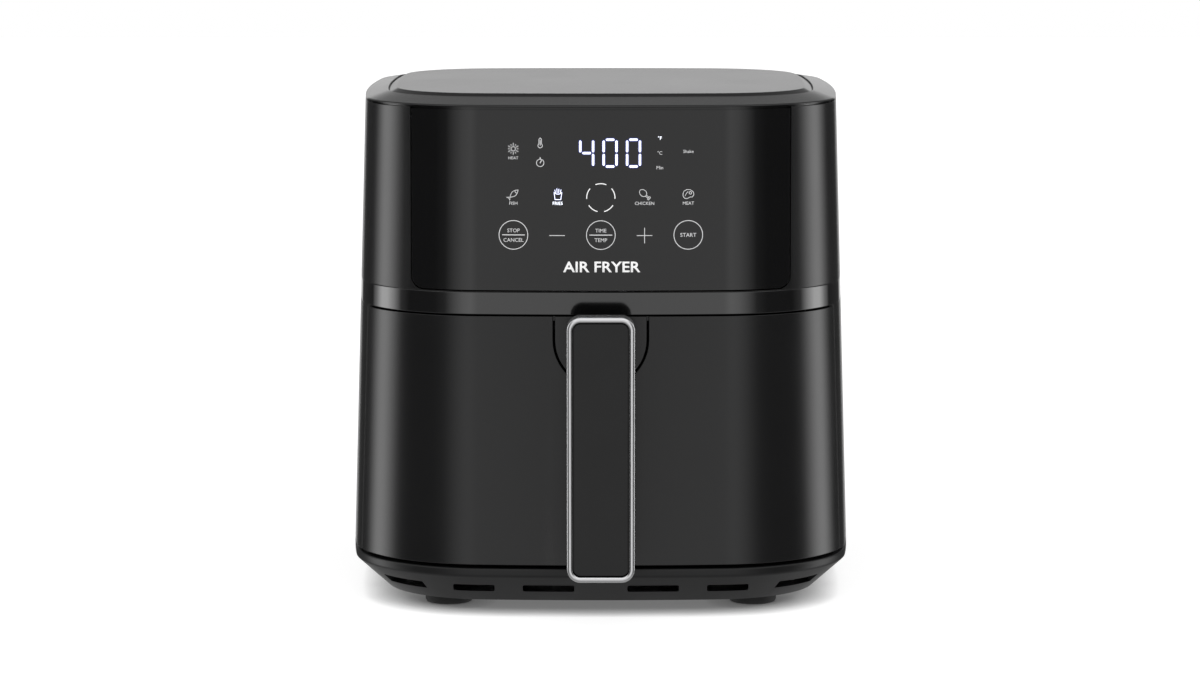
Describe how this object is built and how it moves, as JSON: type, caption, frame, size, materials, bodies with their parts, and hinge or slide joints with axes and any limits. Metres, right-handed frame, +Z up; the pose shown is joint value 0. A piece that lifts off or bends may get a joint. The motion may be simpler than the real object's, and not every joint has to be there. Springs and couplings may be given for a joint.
{
  "type": "air fryer",
  "caption": "Basket air fryer with a pull-out drawer, vertical bar handle, lift-out crisper tray, touch panel with a lit display, and a top-mounted heater and fan.",
  "frame": {"origin": "centre of the footprint on the floor, under the middle of the overall box", "axes": "+Z up, -Y out of the front with the handle, +X to the right seen from the front of the row along +Y"},
  "size_m": [0.31, 0.398, 0.3121],
  "materials": {
    "satin_black_plastic": "satin moulded shell",
    "gloss_black_plastic": "polished piano black",
    "dark_plinth_plastic": "fine textured plinth",
    "black_rubber": "soft rubber foot",
    "silicone": "food-safe silicone",
    "zinc_steel": "zinc plated steel",
    "bright_trim": "satin bright metal trim",
    "lid_plastic": "satin lid",
    "inner_plastic": "heat-resistant moulding",
    "galvanised_sheet": "galvanised sheet",
    "aluminised_steel": "aluminised steel sheet",
    "nonstick_coating": "non-stick coated steel",
    "element_steel": "oxidised sheathed element",
    "circuit_board": "solder-masked board",
    "dark_components": "moulded components",
    "white_plastic": "white light guide",
    "copper_coil": "enamelled copper winding",
    "motor_steel": "laminated steel",
    "bronze": "sintered bronze",
    "polished_steel": "ground steel shaft",
    "ceramic": "ceramic insulator",
    "aluminium_fan": "pressed aluminium"
  },
  "bodies": {
    "housing": {"base_pan": "dark_plinth_plastic", "rubber_feet": "black_rubber", "housing_screws": "zinc_steel", "base_deck": "inner_plastic", "side_shells": "satin_black_plastic", "rear_panel": "satin_black_plastic", "cord_gland": "black_rubber", "front_frame": "inner_plastic", "accent_band": "gloss_black_plastic", "upper_shell": "satin_black_plastic", "control_panel": "gloss_black_plastic", "panel_bezel": "inner_plastic", "display_board": "circuit_board", "board_screws": "zinc_steel", "digit_display": "dark_components", "touch_springs": "zinc_steel", "light_guide": "white_plastic", "top_cover": "satin_black_plastic", "lid_panel": "lid_plastic", "exhaust_grille": "satin_black_plastic", "cavity_liner": "galvanised_sheet", "mid_frame": "inner_plastic", "basket_rails": "galvanised_sheet", "heater_chamber": "aluminised_steel", "heater_screws": "zinc_steel", "element_insulators": "ceramic", "temperature_sensor": "zinc_steel", "thermal_cutout": "dark_components", "heating_element": "element_steel", "element_clips": "zinc_steel", "heater_guard": "zinc_steel", "power_board": "circuit_board", "board_standoffs": "inner_plastic", "board_parts": "dark_components", "motor_bracket": "galvanised_sheet", "motor_stator": "motor_steel", "motor_coil": "copper_coil", "motor_end_plate": "galvanised_sheet", "motor_bearings": "bronze", "cooling_duct": "inner_plastic", "door_switch": "dark_components", "switch_bracket": "inner_plastic"},
    "fan_rotor": {"fan_shaft": "polished_steel", "motor_rotor": "motor_steel", "air_fan": "aluminium_fan", "cooling_fan": "inner_plastic", "fan_nut": "zinc_steel"},
    "drawer": {"drawer_front": "satin_black_plastic", "drawer_inner_panel": "inner_plastic", "drawer_screws": "zinc_steel", "handle_arm": "satin_black_plastic", "handle_grip": "satin_black_plastic", "handle_trim": "bright_trim", "handle_insert": "satin_black_plastic", "basket": "nonstick_coating", "basket_bracket": "galvanised_sheet", "switch_tab": "inner_plastic"},
    "tray": {"crisper_tray": "nonstick_coating", "tray_bumpers": "silicone"},
    "switch_button": {"switch_plunger": "white_plastic"}
  },
  "joints": [
    {"name": "drawer_slide", "type": "slide", "parent": "housing", "child": "drawer", "axis": [0, -1, 0], "range_m": [0, 0.28]},
    {"name": "tray_lift", "type": "slide", "parent": "drawer", "child": "tray", "axis": [0, 0, 1], "range_m": [0, 0.1]},
    {"name": "fan_spin", "type": "hinge", "parent": "housing", "child": "fan_rotor", "pos_m": [0, 0.0215, 0.225], "axis": [0, 0, 1], "continuous": true},
    {"name": "switch_press", "type": "slide", "parent": "housing", "child": "switch_button", "axis": [0, -1, 0], "range_m": [0, 0.003]}
  ],
  "couplings": [
    {"joint": "switch_press", "follows": "drawer_slide", "ratio": 0.010714}
  ]
}
